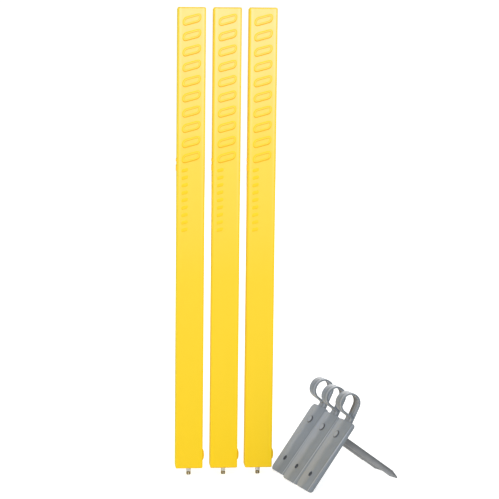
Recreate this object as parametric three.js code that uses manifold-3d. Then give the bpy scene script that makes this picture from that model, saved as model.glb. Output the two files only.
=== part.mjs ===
// Three plastic cricket stumps on short metal pins, and the three steel ground bases that hold them in play.
// Millimetres, +Z up. The stumps stand in a row along X with their faces towards -Y.
// The bases stand to the right of them, each on the lower end of its plate and the tip of its spike.
import * as THREE from 'three';
import { mergeVertices } from 'three/addons/utils/BufferGeometryUtils.js';
import Module from 'manifold-3d';

const wasm = await Module();
wasm.setup();

// Clearances and cutting
const fitGap = 0.3;
const cutOverrun = 2;
const samePoint = 0.02;

// Stump body
const stumpPitch = 54;
const bodyWidth = 42.2;
const bodyDepth = 25;
const bodyHeight = 711;
const shellWall = 2.2;
const cornerRound = 2;
const edgeRound = 1.1;
const backTopDrop = 2;

// Raised pattern on the face
const reliefRise = 0.8;
const reliefSink = 0.4;
const faceMarginLeft = 6.4;
const faceMarginRight = 6.6;
const barCount = 10;
const barHeight = 14.5;
const barPitch = 23;
const barSlope = 8;
const barTopMargin = 7;
const dashCount = 9;
const dashWidth = 10.5;
const dashHeight = 6;
const dashPitch = 11.4;
const dashSlope = 2.5;
const dashStart = 241;

// Small lugs on the edges of the body
const lugDepth = 6;
const lugFromFace = 4;
const upperLugProud = 1.7;
const upperLugTops = [228, 237.5];
const upperLugHeights = [4.6, 9.4];
const lowerLugProud = 2.5;
const lowerLugFoot = 12.4;
const lowerLugHeight = 17;
const lugEmbed = 1;

// Pin under the stump
const plugHeight = 34;
const collarRadius = 3.65;
const collarBore = 2.1;
const collarShown = 7;
const collarSeat = 20;
const tipRadius = 3.4;
const tipHeight = 5.1;
const tipRound = 1.1;
const shankRadius = 1.8;
const shankLength = 34;
const slotWidth = 0.9;
const slotHeight = 4;

// Plate of the ground base
const plateLength = 123;
const plateHalfWidth = 23.5;
const plateThickness = 2.4;
const ridgeRise = 2.5;
const ridgeRound = 40;
const foldRound = 2.2;
const flangeDepth = 7.6;
const flangeCornerRound = 5.2;
const plateCornerRound = 8;
const endTaper = 0.3;
const pinHoleRadius = 4;
const pinHoleFromEnd = 25.3;

// Spike of the ground base
const spikeFromEnd = 97.5;
const spikeReach = 134;
const spikeRadius = 5;
const pointLength = 12.8;
const bluntRadius = 1.2;
const tenonRadius = 3.7;
const headRadius = 5.7;
const headRise = 1.2;

// Finger loop of the ground base
const stripWidth = 20;
const stripThickness = 2.5;
const stripTail = 13;
const loopRadius = 15;
const loopNear = 9.5;
const loopFront = 27.6;
const loopLean = 7.5;
const neckDrop = 1.2;
const neckRound = 4;
const leanRound = 30;
const loopCornerShare = 0.97;

// Places on the ground
const baseTurn = THREE.MathUtils.degToRad(18.8);
const lastBaseX = 110.7;
const lastBaseY = -95;
const basePitches = [100.4, 47.9, 0];
const baseSetbacks = [5.4, 0, 0];

const yellowPlastic = { color: 0xfed94a, roughness: 0.38, metalness: 0 };
const plugPlastic = { color: 0xd9b63a, roughness: 0.6, metalness: 0 };
const collarSteel = { color: 0xc9cccb, roughness: 0.3, metalness: 0.9 };
const tipBrass = { color: 0x8d7a3c, roughness: 0.4, metalness: 0.9 };
const zincSteel = { color: 0x8f9496, roughness: 0.5, metalness: 0.7 };

// Turns a closed geometry into a solid for cutting and joining.
function solidOf(geometry) {
  const bare = geometry.index ? geometry.toNonIndexed() : geometry.clone();
  bare.deleteAttribute('normal');
  bare.deleteAttribute('uv');
  const merged = mergeVertices(bare);
  const vertProperties = Float32Array.from(merged.attributes.position.array);
  const triVerts = Uint32Array.from(merged.index.array);
  return new wasm.Manifold(new wasm.Mesh({ numProp: 3, vertProperties, triVerts }));
}

function geometryOf(solid) {
  const mesh = solid.getMesh();
  const geometry = new THREE.BufferGeometry();
  geometry.setAttribute('position', new THREE.BufferAttribute(mesh.vertProperties, 3));
  geometry.setIndex(new THREE.BufferAttribute(mesh.triVerts, 1));
  geometry.computeVertexNormals();
  return geometry;
}

function named(name, solid, finish) {
  const mesh = new THREE.Mesh(geometryOf(solid), new THREE.MeshStandardMaterial(finish));
  mesh.name = name;
  return mesh;
}

// A box from its lowest to its highest corner.
function block(low, high) {
  const size = new THREE.Vector3(...high).sub(new THREE.Vector3(...low));
  const geometry = new THREE.BoxGeometry(size.x, size.y, size.z);
  const centre = new THREE.Vector3(...low).addScaledVector(size, 1 / 2);
  geometry.translate(centre.x, centre.y, centre.z);
  return solidOf(geometry);
}

// A round bar along Z from one height to another.
function bar(radius, from, to, sides = 20) {
  const geometry = new THREE.CylinderGeometry(radius, radius, to - from, sides);
  geometry.rotateX(Math.PI / 2);
  geometry.translate(0, 0, (from + to) / 2);
  return solidOf(geometry);
}

function turned(profile, sides = 16) {
  const geometry = new THREE.LatheGeometry(profile.map(([r, z]) => new THREE.Vector2(r, z)), sides);
  geometry.rotateX(Math.PI / 2);
  return solidOf(geometry);
}

// Stands an outline drawn in width and height upright, from the plane y = back to y = front.
function upright(shape, back, front, options = {}) {
  const geometry = new THREE.ExtrudeGeometry(shape, { depth: back - front, bevelEnabled: false, ...options });
  geometry.rotateX(Math.PI / 2);
  geometry.translate(0, back, 0);
  return solidOf(geometry);
}

function roundedRectangle(left, bottom, width, height, radius) {
  const right = left + width;
  const top = bottom + height;
  const shape = new THREE.Shape();
  shape.moveTo(left + radius, bottom);
  shape.lineTo(right - radius, bottom);
  shape.absarc(right - radius, bottom + radius, radius, -Math.PI / 2, 0, false);
  shape.lineTo(right, top - radius);
  shape.absarc(right - radius, top - radius, radius, 0, Math.PI / 2, false);
  shape.lineTo(left + radius, top);
  shape.absarc(left + radius, top - radius, radius, Math.PI / 2, Math.PI, false);
  shape.lineTo(left, bottom + radius);
  shape.absarc(left + radius, bottom + radius, radius, Math.PI, Math.PI * 3 / 2, false);
  return shape;
}

const bodyFoot = tipHeight + fitGap + collarShown;
const bodyTop = bodyFoot + bodyHeight;
const faceY = -bodyDepth / 2;

// The outer form of the body, with softly rounded edges on its face and back.
function bodyForm(height) {
  const outline = roundedRectangle(-bodyWidth / 2, bodyFoot, bodyWidth, height, cornerRound);
  const soft = {
    depth: bodyDepth - 2 * edgeRound,
    bevelEnabled: true,
    bevelThickness: edgeRound,
    bevelSize: edgeRound,
    bevelOffset: -edgeRound,
    bevelSegments: 2,
    curveSegments: 2,
  };
  return upright(outline, bodyDepth / 2 - edgeRound, faceY + edgeRound, soft);
}

// The space inside the body, open at the foot where the pin passes.
function bodyHollow(height) {
  const hollow = block(
    [-bodyWidth / 2 + shellWall, faceY + shellWall, bodyFoot + shellWall],
    [bodyWidth / 2 - shellWall, -faceY - shellWall, bodyFoot + height - shellWall],
  );
  const passage = bar(collarRadius + fitGap, bodyFoot - cutOverrun, bodyFoot + shellWall + cutOverrun);
  return hollow.add(passage);
}

function parallelogram(left, top, width, height, slope) {
  const shape = new THREE.Shape();
  shape.moveTo(left, top - slope);
  shape.lineTo(left, top - slope - height);
  shape.lineTo(left + width, top - height);
  shape.lineTo(left + width, top);
  shape.closePath();
  return shape;
}

// The raised pattern: broad slanted bars down the upper face, and short dashes below them.
function reliefShapes() {
  const left = -bodyWidth / 2 + faceMarginLeft;
  const barWidth = bodyWidth - faceMarginLeft - faceMarginRight;
  const shapes = [];
  for (let i = 0; i < barCount; i += 1) {
    shapes.push(parallelogram(left, bodyTop - barTopMargin - i * barPitch, barWidth, barHeight, barSlope));
  }
  for (let i = 0; i < dashCount; i += 1) {
    shapes.push(parallelogram(left, bodyTop - dashStart - i * dashPitch, dashWidth, dashHeight, dashSlope));
  }
  return shapes;
}

// Two small lugs on the left edge and a rounded one near the foot of the right edge.
function edgeLugs() {
  const left = -bodyWidth / 2;
  const right = bodyWidth / 2;
  const front = faceY + lugFromFace;
  const lugs = upperLugTops.map((fromTop, i) => {
    const top = bodyTop - fromTop;
    const foot = top - upperLugHeights[i];
    return block([left - upperLugProud, front, foot], [left + lugEmbed, front + lugDepth, top]);
  });
  const swell = new THREE.Shape();
  const middle = bodyFoot + lowerLugFoot + lowerLugHeight / 2;
  swell.absellipse(right, middle, lowerLugProud, lowerLugHeight / 2, -Math.PI / 2, Math.PI / 2, false, 0);
  swell.lineTo(right - lugEmbed, middle + lowerLugHeight / 2);
  swell.lineTo(right - lugEmbed, middle - lowerLugHeight / 2);
  lugs.push(upright(swell, front + lugDepth, front, { curveSegments: 5 }));
  return lugs;
}

function frontShell() {
  const half = block(
    [-bodyWidth, faceY - cutOverrun, bodyFoot - cutOverrun],
    [bodyWidth, -fitGap / 2, bodyTop + cutOverrun],
  );
  let shell = bodyForm(bodyHeight).intersect(half);
  for (const lug of edgeLugs()) shell = shell.add(lug.intersect(half));
  shell = shell.subtract(bodyHollow(bodyHeight));
  for (const shape of reliefShapes()) {
    shell = shell.add(upright(shape, faceY + reliefSink, faceY - reliefRise));
  }
  return shell;
}

function backShell() {
  const height = bodyHeight - backTopDrop;
  const half = block(
    [-bodyWidth, fitGap / 2, bodyFoot - cutOverrun],
    [bodyWidth, -faceY + cutOverrun, bodyTop + cutOverrun],
  );
  return bodyForm(height).intersect(half).subtract(bodyHollow(height));
}

// The block inside the foot of the body that holds the pin.
function footPlug() {
  const inset = shellWall + fitGap;
  const foot = bodyFoot + inset;
  const core = block(
    [-bodyWidth / 2 + inset, faceY + inset, foot],
    [bodyWidth / 2 - inset, -faceY - inset, foot + plugHeight],
  );
  const seat = bar(collarRadius + fitGap, foot - cutOverrun, bodyFoot + collarSeat + fitGap);
  const bore = bar(shankRadius + fitGap, foot, foot + plugHeight + cutOverrun);
  return core.subtract(seat).subtract(bore);
}

function pinCollar() {
  const foot = tipHeight + fitGap;
  const top = bodyFoot + collarSeat;
  const wall = [[collarBore, foot], [collarRadius, foot], [collarRadius, top], [collarBore, top]];
  return turned([...wall, wall[0]]);
}

// The split stud that grips in the plate's hole: two sprung lobes under a plain shank.
function pinTip() {
  const soft = tipRound * (1 - Math.SQRT1_2);
  const stud = turned([
    [0, 0],
    [tipRadius - tipRound, 0],
    [tipRadius - soft, soft],
    [tipRadius, tipRound],
    [tipRadius, tipHeight - tipRound / 2],
    [tipRadius - tipRound / 2, tipHeight],
    [shankRadius, tipHeight],
    [shankRadius, tipHeight + shankLength],
    [0, tipHeight + shankLength],
  ]);
  const slot = block(
    [-slotWidth / 2, -tipRadius - cutOverrun, -cutOverrun],
    [slotWidth / 2, tipRadius + cutOverrun, slotHeight],
  );
  return stud.subtract(slot);
}

// A line through corners, with an arc of its own radius at each inner corner.
function bentLine(corners, radii) {
  const line = new THREE.Path();
  line.moveTo(corners[0].x, corners[0].y);
  for (let i = 1; i < corners.length - 1; i += 1) {
    const back = corners[i - 1].clone().sub(corners[i]).normalize();
    const ahead = corners[i + 1].clone().sub(corners[i]).normalize();
    const radius = radii[i - 1];
    const halfAngle = Math.acos(back.dot(ahead)) / 2;
    const reach = radius / Math.tan(halfAngle);
    const middle = back.clone().add(ahead).normalize();
    const centre = corners[i].clone().addScaledVector(middle, radius / Math.sin(halfAngle));
    const start = corners[i].clone().addScaledVector(back, reach);
    const end = corners[i].clone().addScaledVector(ahead, reach);
    const from = start.clone().sub(centre).angle();
    const to = end.clone().sub(centre).angle();
    line.lineTo(start.x, start.y);
    line.absarc(centre.x, centre.y, radius, from, to, back.cross(ahead) > 0);
  }
  const last = corners[corners.length - 1];
  line.lineTo(last.x, last.y);
  return line;
}

// The outline of a strip of even thickness that follows a line.
function stripOutline(line, thickness, divisions) {
  const all = line.getPoints(divisions);
  const points = all.filter((point, i) => i === 0 || point.distanceTo(all[i - 1]) > samePoint);
  const sides = [[], []];
  points.forEach((point, i) => {
    const before = points[Math.max(i - 1, 0)];
    const after = points[Math.min(i + 1, points.length - 1)];
    const into = (i === 0 ? after.clone().sub(point) : point.clone().sub(before)).normalize();
    const outOf = (i === points.length - 1 ? into.clone() : after.clone().sub(point)).normalize();
    const along = into.clone().add(outOf).normalize();
    const spread = thickness / 2 / along.dot(into);
    const across = new THREE.Vector2(-along.y, along.x);
    sides[0].push(point.clone().addScaledVector(across, spread));
    sides[1].unshift(point.clone().addScaledVector(across, -spread));
  });
  return new THREE.Shape([...sides[1], ...sides[0]]);
}

// Each base is drawn flat: X across the plate towards its flange, Y up the plate, Z out of its front.
// The plate's ridge line is at X = 0, Z = 0, and its lower end at Y = 0.
const ridgeFall = ridgeRise / plateHalfWidth;
const stripTop = -ridgeFall * stripWidth / 2 - plateThickness - fitGap;
const frontLayer = stripTop - stripThickness / 2;
const backLayer = frontLayer - stripThickness - fitGap;
const shoulder = backLayer - stripThickness / 2 - fitGap;

// Extrudes an outline drawn in X and Z along Y.
function alongPlate(shape, from, to) {
  const geometry = new THREE.ExtrudeGeometry(shape, { depth: to - from, bevelEnabled: false });
  geometry.rotateX(Math.PI / 2);
  geometry.translate(0, to, 0);
  return solidOf(geometry);
}

// Extrudes an outline drawn in Y and Z along X.
function acrossPlate(shape, from, to) {
  const options = { depth: to - from, bevelEnabled: false, curveSegments: 6 };
  const geometry = new THREE.ExtrudeGeometry(shape, options);
  geometry.rotateY(Math.PI / 2);
  geometry.rotateX(Math.PI / 2);
  geometry.translate(from, 0, 0);
  return solidOf(geometry);
}

// The plate seen from the front: square towards the flange, with soft corners on the free edge.
function plateOutline() {
  const left = -plateHalfWidth;
  const right = plateHalfWidth + cutOverrun;
  const corners = [
    new THREE.Vector2(0, 0),
    new THREE.Vector2(right, 0),
    new THREE.Vector2(right, plateLength),
    new THREE.Vector2(0, plateLength),
    new THREE.Vector2(left, plateLength - endTaper),
    new THREE.Vector2(left, endTaper),
    new THREE.Vector2(0, 0),
  ];
  const radii = [endTaper / 2, endTaper / 2, ridgeRound, plateCornerRound, plateCornerRound];
  return new THREE.Shape(bentLine(corners, radii).getPoints(5).slice(0, -1));
}

// The scrap beyond the rounded end of the flange, at the lower end of the plate.
function flangeScrap() {
  const low = -flangeDepth - cutOverrun;
  const start = -flangeDepth + flangeCornerRound;
  const scrap = new THREE.Shape();
  scrap.moveTo(-cutOverrun, low);
  scrap.lineTo(flangeCornerRound, low);
  scrap.lineTo(flangeCornerRound, -flangeDepth);
  scrap.absarc(flangeCornerRound, start, flangeCornerRound, -Math.PI / 2, -Math.PI, true);
  scrap.lineTo(-cutOverrun, start);
  scrap.closePath();
  return acrossPlate(scrap, 0, plateHalfWidth + cutOverrun);
}

function basePlate() {
  const middle = plateThickness / 2;
  const edge = plateHalfWidth - middle;
  const section = bentLine(
    [
      new THREE.Vector2(-plateHalfWidth, -ridgeRise - middle),
      new THREE.Vector2(0, -middle),
      new THREE.Vector2(edge, -ridgeRise - middle),
      new THREE.Vector2(edge, -flangeDepth),
    ],
    [ridgeRound, foldRound],
  );
  const sheet = alongPlate(stripOutline(section, plateThickness, 3), 0, plateLength);
  const outlineDepth = flangeDepth + 2 * cutOverrun;
  const trim = new THREE.ExtrudeGeometry(plateOutline(), { depth: outlineDepth, bevelEnabled: false });
  trim.translate(0, 0, -flangeDepth - cutOverrun);
  const lowScrap = flangeScrap();
  const highScrap = lowScrap.mirror([0, 1, 0]).translate([0, plateLength, 0]);
  const pinHole = bar(pinHoleRadius, -flangeDepth, cutOverrun).translate([0, pinHoleFromEnd, 0]);
  const tenonHole = bar(tenonRadius + fitGap, -flangeDepth, cutOverrun).translate([0, spikeFromEnd, 0]);
  let plate = sheet.intersect(solidOf(trim));
  for (const cut of [lowScrap, highScrap, pinHole, tenonHole]) plate = plate.subtract(cut);
  return plate;
}

// One strip, bent into a ring in front of the plate, with both ends clamped behind it by the spike.
function pullLoop() {
  const tail = spikeFromEnd - stripTail;
  const far = plateLength + loopNear + 2 * loopRadius;
  const near = plateLength + loopNear;
  const bend = loopRadius * loopCornerShare;
  const line = bentLine(
    [
      new THREE.Vector2(tail, backLayer),
      new THREE.Vector2(plateLength, backLayer),
      new THREE.Vector2(far, backLayer + loopLean),
      new THREE.Vector2(far, loopFront),
      new THREE.Vector2(near, loopFront),
      new THREE.Vector2(near - neckDrop, frontLayer),
      new THREE.Vector2(tail, frontLayer),
    ],
    [leanRound, bend, bend, bend, neckRound],
  );
  const strip = acrossPlate(stripOutline(line, stripThickness, 5), -stripWidth / 2, stripWidth / 2);
  const hole = bar(tenonRadius + fitGap, shoulder, 0).translate([0, spikeFromEnd, 0]);
  return strip.subtract(hole);
}

// A round bar with a forged four-sided point, a tenon through strip and plate, and a peened head.
function spike() {
  const tip = -spikeReach;
  const soft = headRise / 2;
  const shaft = bar(spikeRadius, tip, shoulder, 20);
  const growth = (spikeRadius - bluntRadius) / pointLength;
  const coneLength = spikeReach + shoulder;
  const wedge = new THREE.CylinderGeometry(bluntRadius + growth * coneLength, bluntRadius, coneLength, 4);
  wedge.rotateX(Math.PI / 2);
  wedge.translate(0, 0, tip + coneLength / 2);
  const head = turned([
    [0, shoulder - fitGap],
    [tenonRadius, shoulder - fitGap],
    [tenonRadius, fitGap],
    [headRadius, fitGap],
    [headRadius - soft / 2, fitGap + soft],
    [headRadius - headRise, fitGap + headRise],
    [0, fitGap + headRise],
  ], 20);
  return shaft.intersect(solidOf(wedge)).add(head).translate([0, spikeFromEnd, 0]);
}

// The plate leans until the rounded flange corner and the spike's tip touch the ground together.
function restingLean() {
  const run = spikeFromEnd - bluntRadius - flangeCornerRound;
  const drop = spikeReach + flangeCornerRound - flangeDepth;
  return Math.atan2(drop, run) - Math.asin(flangeCornerRound / Math.hypot(drop, run));
}

function stump(number) {
  const group = new THREE.Group();
  const name = `stump_${number}`;
  group.add(
    named(`${name}_front_shell`, frontShell(), yellowPlastic),
    named(`${name}_back_shell`, backShell(), yellowPlastic),
    named(`${name}_foot_plug`, footPlug(), plugPlastic),
    named(`${name}_pin_collar`, pinCollar(), collarSteel),
    named(`${name}_pin_tip`, pinTip(), tipBrass),
  );
  return group;
}

function groundBase(number) {
  const standing = new THREE.Group();
  const leaning = new THREE.Group();
  const name = `base_${number}`;
  leaning.rotation.x = restingLean();
  leaning.add(
    named(`${name}_plate`, basePlate(), zincSteel),
    named(`${name}_pull_loop`, pullLoop(), zincSteel),
    named(`${name}_spike`, spike(), zincSteel),
  );
  standing.rotation.z = baseTurn - Math.PI / 2;
  standing.add(leaning);
  return standing;
}

const part = new THREE.Group();
const layout = new THREE.Group();
part.add(layout);

[-1, 0, 1].forEach((place, i) => {
  const group = stump(i + 1);
  group.position.x = place * stumpPitch;
  layout.add(group);
});

basePitches.forEach((pitch, i) => {
  const group = groundBase(i + 1);
  const behind = new THREE.Vector2(-Math.sin(baseTurn), Math.cos(baseTurn)).multiplyScalar(pitch);
  const beside = new THREE.Vector2(Math.cos(baseTurn), Math.sin(baseTurn)).multiplyScalar(baseSetbacks[i]);
  group.position.set(lastBaseX + behind.x + beside.x, lastBaseY + behind.y + beside.y, 0);
  const box = new THREE.Box3().setFromObject(group, true);
  group.position.z = -box.min.z;
  layout.add(group);
});

// The origin is on the ground, under the middle of the whole set.
const whole = new THREE.Box3().setFromObject(layout, true);
const centre = whole.getCenter(new THREE.Vector3());
layout.position.set(-centre.x, -centre.y, -whole.min.z);

export default part;
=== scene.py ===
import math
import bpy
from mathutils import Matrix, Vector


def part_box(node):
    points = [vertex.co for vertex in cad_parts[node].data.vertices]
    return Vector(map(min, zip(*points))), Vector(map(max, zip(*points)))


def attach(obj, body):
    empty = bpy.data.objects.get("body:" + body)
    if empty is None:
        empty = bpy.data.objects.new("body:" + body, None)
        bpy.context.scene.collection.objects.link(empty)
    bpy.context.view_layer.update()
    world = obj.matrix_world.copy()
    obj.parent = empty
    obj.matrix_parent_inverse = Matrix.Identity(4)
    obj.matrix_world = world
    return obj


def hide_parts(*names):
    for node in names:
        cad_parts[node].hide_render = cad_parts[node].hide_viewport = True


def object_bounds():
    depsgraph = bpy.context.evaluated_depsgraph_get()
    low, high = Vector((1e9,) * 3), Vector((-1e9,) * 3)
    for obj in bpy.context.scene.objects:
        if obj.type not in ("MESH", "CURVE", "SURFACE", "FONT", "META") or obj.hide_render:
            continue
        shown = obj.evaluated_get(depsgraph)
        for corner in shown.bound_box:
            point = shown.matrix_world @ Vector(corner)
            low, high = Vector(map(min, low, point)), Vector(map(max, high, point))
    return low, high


bl_info = {
    "name": "Cricket Stump Set",
    "version": (1, 0, 0),
    "blender": (4, 5, 0),
    "location": "View3D > Sidebar > Stumps",
    "description": "Dresses three plastic cricket stumps and their three steel ground bases",
    "category": "Add Mesh",
}

import bmesh
import bpy
from bpy.props import FloatProperty, FloatVectorProperty, IntProperty, PointerProperty
from mathutils import Matrix, Vector

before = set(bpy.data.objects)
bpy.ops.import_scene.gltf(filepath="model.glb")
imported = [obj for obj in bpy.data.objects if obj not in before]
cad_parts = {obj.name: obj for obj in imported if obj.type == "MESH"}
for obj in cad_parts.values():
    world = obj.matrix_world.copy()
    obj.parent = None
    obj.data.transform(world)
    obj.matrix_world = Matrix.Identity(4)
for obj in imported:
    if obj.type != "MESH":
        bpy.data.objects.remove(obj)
CAD_LOW, CAD_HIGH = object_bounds()
MM = 0.001
COPIES = (1, 2, 3)
X, Y, Z = range(3)
OVERRUN = 2 * MM  # how far a cutter reaches past what it cuts
FINE, PLAIN = 64, 48  # sides of round pieces
SHARP = math.radians(50)  # edges sharper than this are eased
BEND_STEP = math.radians(6)  # how finely the loop's strip is bent
FACING = 0.9  # how squarely a face must look one way to count as facing it
TOUCH = MM / 100  # lengths closer than this agree
DOUBLE = MM / 1000  # corners closer than this are one
SPIKE_TOP = Vector((0.56, 0.19, 0.8))  # the way the upper side of the spikes faces
MIX_INPUTS, MIX_RESULT = (0, 6, 7), 2  # the factor, both colours and the blend of a Mix node

# Each lamp's place and size in metres and its power in watts.
LAMPS = {
    "key_lamp": ((-1.4, -2.9, 2.2), 2.4, 55),
    "back_lamp": ((0.9, 2.9, 1.6), 2.0, 32),
    "fill_lamp": ((2.3, -1.8, 1.0), 2.0, 18),
}

# Steps of the pattern's rounded rim, then of its sunk middle: how far in and up, as shares of its height.
ROUND_OVER_SHARES = ((0.45, 0.13), (0.5, 0.25), (0.55, 0.32), (0.5, 0.26), (0.45, 0.13), (0.45, 0.035))
DISH_SHARES = ((1.05, 0.0), (0.3, -0.1), (0.4, -0.24), (0.35, -0.2), (0.25, -0.06))
DASH_SHARES = ((0.45, 0.13), (0.45, 0.2), (0.5, 0.22), (0.45, 0.13), (0.4, 0.04))
# Steps of the hollow in a peened head, as shares of how deep the head sits.
HEAD_DISH_SHARES = (0.0, -0.5, -0.25)


def length(name, description, millimetres):
    """A size that shows in the panel, with its default given in millimetres."""
    size = millimetres * MM
    return FloatProperty(
        name=name, description=description, default=size, unit="LENGTH", subtype="DISTANCE", precision=5
    )


def tone(name, description, red, green, blue):
    """A colour that shows in the panel, in linear light."""
    return FloatVectorProperty(
        name=name, description=description, default=(red, green, blue), min=0, max=1, size=3, subtype="COLOR"
    )


def turn(name, description, degrees):
    """An angle that shows in the panel."""
    return FloatProperty(name=name, description=description, default=math.radians(degrees), unit="ROTATION")


class StumpSettings(bpy.types.PropertyGroup):
    """Sizes and colours of the plastic stumps and their pins."""

    wall: length("Wall", "Thickness of the moulded shells", 2.2)
    corner: length("Corner", "Radius of the corners seen from the front", 2.0)
    edge: length("Edge", "Radius of the long edges of the face", 1.8)
    seam_edge: length("Seam edge", "Rounding of both shells along the seam", 0.3)
    left_margin: length("Left margin", "From the left edge of the face to the pattern", 6.4)
    right_margin: length("Right margin", "From the pattern to the right edge of the face", 6.6)
    relief: length("Relief", "Height of the raised pattern", 0.8)
    root: length("Root", "Depth of the pattern's root in the wall", 0.4)
    bar_count: IntProperty(name="Bars", description="Broad slanted bars down the face", default=10, min=1)
    bar_height: length("Bar height", "Height of one slanted bar", 14.5)
    bar_pitch: length("Bar pitch", "Distance from one bar to the next", 23.0)
    bar_slope: length("Bar slope", "Rise of a bar across its width", 8.0)
    bar_top: length("Bar top", "From the top of the stump to the first bar", 7.0)
    bar_corner: length("Bar corner", "Rounding of a bar's corners", 6.6)
    dash_count: IntProperty(name="Dashes", description="Short dashes below the bars", default=9, min=1)
    dash_width: length("Dash width", "Width of one short dash", 10.5)
    dash_height: length("Dash height", "Height of one short dash", 6.0)
    dash_pitch: length("Dash pitch", "Distance from one dash to the next", 11.4)
    dash_slope: length("Dash slope", "Rise of a dash across its width", 2.5)
    dash_top: length("Dash top", "From the top of the stump to the first dash", 241.0)
    dash_corner: length("Dash corner", "Rounding of a dash's corners", 2.6)
    lug_depth: length("Lug depth", "Depth of the small lugs on the edges", 6.0)
    lug_from_face: length("Lug from face", "From the face to the lugs", 4.0)
    lug_proud: length("Lug proud", "How far the upper lugs stand out", 1.7)
    lug_embed: length("Lug embed", "How deep the lugs reach into the wall", 1.0)
    lug_round: length("Lug round", "Rounding of the lugs", 0.5)
    first_lug: length("First lug", "From the top of the stump to the first lug", 228.0)
    first_lug_height: length("First lug height", "Height of the first lug", 4.6)
    second_lug: length("Second lug", "From the top of the stump to the second lug", 237.5)
    second_lug_height: length("Second lug height", "Height of the second lug", 9.4)
    swell_proud: length("Swell proud", "How far the lower lug stands out", 2.5)
    swell_height: length("Swell height", "Height of the lower lug", 17.0)
    swell_foot: length("Swell foot", "From the foot of the body to the lower lug", 12.4)
    pin_radius: length("Pin radius", "Radius of the pin's steel sleeve", 3.65)
    sleeve_bore: length("Sleeve bore", "Inner radius of the sleeve", 2.1)
    sleeve_round: length("Sleeve round", "Rounding of the sleeve's ends", 0.35)
    tip_radius: length("Tip radius", "Radius of the split tip", 3.4)
    tip_round: length("Tip round", "Rounding at the foot of the tip", 1.1)
    tip_shoulder: length("Tip shoulder", "Rounding at the top of the tip", 0.55)
    shank: length("Shank", "Radius of the shank inside the sleeve", 1.8)
    slot_width: length("Slot width", "Width of the slot in the tip", 0.9)
    slot_height: length("Slot height", "Height of the slot in the tip", 4.0)
    gap: length("Gap", "Clearance between touching pieces", 0.3)
    # The four tones up the body are paler towards the top, partly as painted light from above.
    pale: tone("Pale yellow", "Plastic near the top", 0.97, 0.82, 0.36)
    light: tone("Light yellow", "Plastic at the foot of the bars", 0.97, 0.725, 0.115)
    middle: tone("Mid yellow", "Plastic half way down", 0.97, 0.68, 0.04)
    deep: tone("Deep yellow", "Plastic near the foot", 1.0, 0.675, 0.013)
    # Painted shade on the narrow sides, the rounded edges and the flanks of the pattern.
    painted_edge_shade: tone("Edge yellow", "Plastic on the narrow sides and rounded edges", 1.0, 0.69, 0.02)
    # Painted light on the left sides, which the neighbours shade.
    painted_left_light: tone("Left side", "Plastic on the left side, which the neighbours shade", 1.0, 0.79, 0.07)
    # Painted shade in the creases and on the undersides of the pattern; on the plug, random patches.
    crease_shade_and_patches: tone("Crease", "Plastic in the creases of the pattern", 0.93, 0.46, 0.009)
    steel: tone("Steel", "Pin sleeve", 0.6, 0.6, 0.58)
    smoked_steel: tone("Smoked steel", "Duller patches of the pin sleeve", 0.36, 0.36, 0.34)
    brass: tone("Brass", "Split tip", 0.34, 0.27, 0.12)
    tarnish: tone("Tarnish", "Dull patches of the split tip", 0.12, 0.1, 0.05)


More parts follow.
